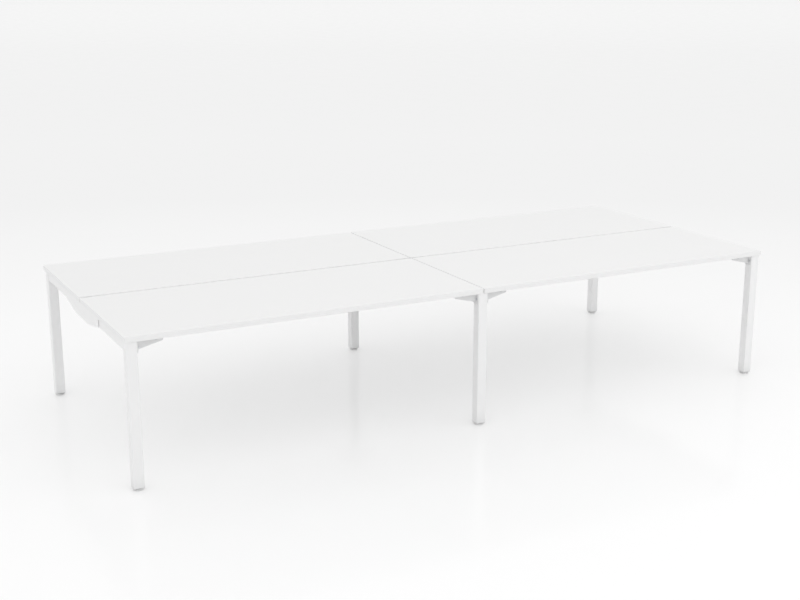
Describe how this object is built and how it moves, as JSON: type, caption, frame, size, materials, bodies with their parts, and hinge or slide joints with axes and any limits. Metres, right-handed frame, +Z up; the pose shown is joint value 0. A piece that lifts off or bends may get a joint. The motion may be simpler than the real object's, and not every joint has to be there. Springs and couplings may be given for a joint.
{
  "type": "bench desk",
  "caption": "White back-to-back bench desk: faced worktops on square tube leg frames joined by beams, with tapered gussets and levelling feet.",
  "frame": {"origin": "on the floor, under the middle of the desk, with the feet screwed right in", "axes": "+X along the desk's length, +Y from the front users to the rear users, +Z up"},
  "size_m": [3.605, 1.516, 0.715],
  "materials": {
    "worktop_white": "matt white melamine facing on particle board",
    "edging_white": "satin white ABS edging strip",
    "frame_white": "fine white powder coat on steel",
    "casting_white": "thin off-white powder coat on cast metal",
    "plug_grey": "moulded light grey nylon",
    "pad_grey": "moulded grey nylon",
    "zinc_steel": "bright zinc plate"
  },
  "bodies": {
    "desk": {"top_front_left": "worktop_white", "edging_front_left": "edging_white", "beam_front_left": "frame_white", "top_front_right": "worktop_white", "edging_front_right": "edging_white", "beam_front_right": "frame_white", "leg_front_left": "frame_white", "arm_front_left": "frame_white", "leg_plug_front_left": "plug_grey", "leg_front_middle": "frame_white", "arm_front_middle": "frame_white", "leg_plug_front_middle": "plug_grey", "leg_front_right": "frame_white", "arm_front_right": "frame_white", "leg_plug_front_right": "plug_grey", "gusset_front_left": "casting_white", "gusset_front_middle_left": "casting_white", "gusset_front_middle_right": "casting_white", "gusset_front_right": "casting_white", "top_rear_left": "worktop_white", "edging_rear_left": "edging_white", "beam_rear_left": "frame_white", "top_rear_right": "worktop_white", "edging_rear_right": "edging_white", "beam_rear_right": "frame_white", "leg_rear_left": "frame_white", "arm_rear_left": "frame_white", "leg_plug_rear_left": "plug_grey", "leg_rear_middle": "frame_white", "arm_rear_middle": "frame_white", "leg_plug_rear_middle": "plug_grey", "leg_rear_right": "frame_white", "arm_rear_right": "frame_white", "leg_plug_rear_right": "plug_grey", "gusset_rear_left": "casting_white", "gusset_rear_middle_left": "casting_white", "gusset_rear_middle_right": "casting_white", "gusset_rear_right": "casting_white", "bridge_left": "frame_white", "bridge_middle": "frame_white", "bridge_right": "frame_white", "top_screws": "zinc_steel", "gusset_bolts": "zinc_steel", "beam_bolts": "zinc_steel", "bridge_bolts": "zinc_steel"},
    "pad_front_left": {"foot_pad_front_left": "pad_grey"},
    "stud_front_left": {"foot_stud_front_left": "zinc_steel"},
    "pad_front_middle": {"foot_pad_front_middle": "pad_grey"},
    "stud_front_middle": {"foot_stud_front_middle": "zinc_steel"},
    "pad_front_right": {"foot_pad_front_right": "pad_grey"},
    "stud_front_right": {"foot_stud_front_right": "zinc_steel"},
    "pad_rear_left": {"foot_pad_rear_left": "pad_grey"},
    "stud_rear_left": {"foot_stud_rear_left": "zinc_steel"},
    "pad_rear_middle": {"foot_pad_rear_middle": "pad_grey"},
    "stud_rear_middle": {"foot_stud_rear_middle": "zinc_steel"},
    "pad_rear_right": {"foot_pad_rear_right": "pad_grey"},
    "stud_rear_right": {"foot_stud_rear_right": "zinc_steel"}
  },
  "joints": [
    {"name": "foot_height_front_left", "type": "slide", "parent": "desk", "child": "pad_front_left", "axis": [0, 0, -1], "range_m": [0, 0.015]},
    {"name": "stud_turn_front_left", "type": "hinge", "parent": "pad_front_left", "child": "stud_front_left", "pos_m": [-1.7695, -0.727, 0.011], "axis": [0, 0, -1], "range_deg": [0, 3600]},
    {"name": "foot_height_front_middle", "type": "slide", "parent": "desk", "child": "pad_front_middle", "axis": [0, 0, -1], "range_m": [0, 0.015]},
    {"name": "stud_turn_front_middle", "type": "hinge", "parent": "pad_front_middle", "child": "stud_front_middle", "pos_m": [0, -0.727, 0.011], "axis": [0, 0, -1], "range_deg": [0, 3600]},
    {"name": "foot_height_front_right", "type": "slide", "parent": "desk", "child": "pad_front_right", "axis": [0, 0, -1], "range_m": [0, 0.015]},
    {"name": "stud_turn_front_right", "type": "hinge", "parent": "pad_front_right", "child": "stud_front_right", "pos_m": [1.7695, -0.727, 0.011], "axis": [0, 0, -1], "range_deg": [0, 3600]},
    {"name": "foot_height_rear_left", "type": "slide", "parent": "desk", "child": "pad_rear_left", "axis": [0, 0, -1], "range_m": [0, 0.015]},
    {"name": "stud_turn_rear_left", "type": "hinge", "parent": "pad_rear_left", "child": "stud_rear_left", "pos_m": [-1.7695, 0.727, 0.011], "axis": [0, 0, -1], "range_deg": [0, 3600]},
    {"name": "foot_height_rear_middle", "type": "slide", "parent": "desk", "child": "pad_rear_middle", "axis": [0, 0, -1], "range_m": [0, 0.015]},
    {"name": "stud_turn_rear_middle", "type": "hinge", "parent": "pad_rear_middle", "child": "stud_rear_middle", "pos_m": [0, 0.727, 0.011], "axis": [0, 0, -1], "range_deg": [0, 3600]},
    {"name": "foot_height_rear_right", "type": "slide", "parent": "desk", "child": "pad_rear_right", "axis": [0, 0, -1], "range_m": [0, 0.015]},
    {"name": "stud_turn_rear_right", "type": "hinge", "parent": "pad_rear_right", "child": "stud_rear_right", "pos_m": [1.7695, 0.727, 0.011], "axis": [0, 0, -1], "range_deg": [0, 3600]}
  ],
  "couplings": [
    {"joint": "stud_turn_front_left", "follows": "foot_height_front_left", "rad_per_m": 4188.8},
    {"joint": "stud_turn_front_middle", "follows": "foot_height_front_middle", "rad_per_m": 4188.8},
    {"joint": "stud_turn_front_right", "follows": "foot_height_front_right", "rad_per_m": 4188.8},
    {"joint": "stud_turn_rear_left", "follows": "foot_height_rear_left", "rad_per_m": 4188.8},
    {"joint": "stud_turn_rear_middle", "follows": "foot_height_rear_middle", "rad_per_m": 4188.8},
    {"joint": "stud_turn_rear_right", "follows": "foot_height_rear_right", "rad_per_m": 4188.8}
  ]
}
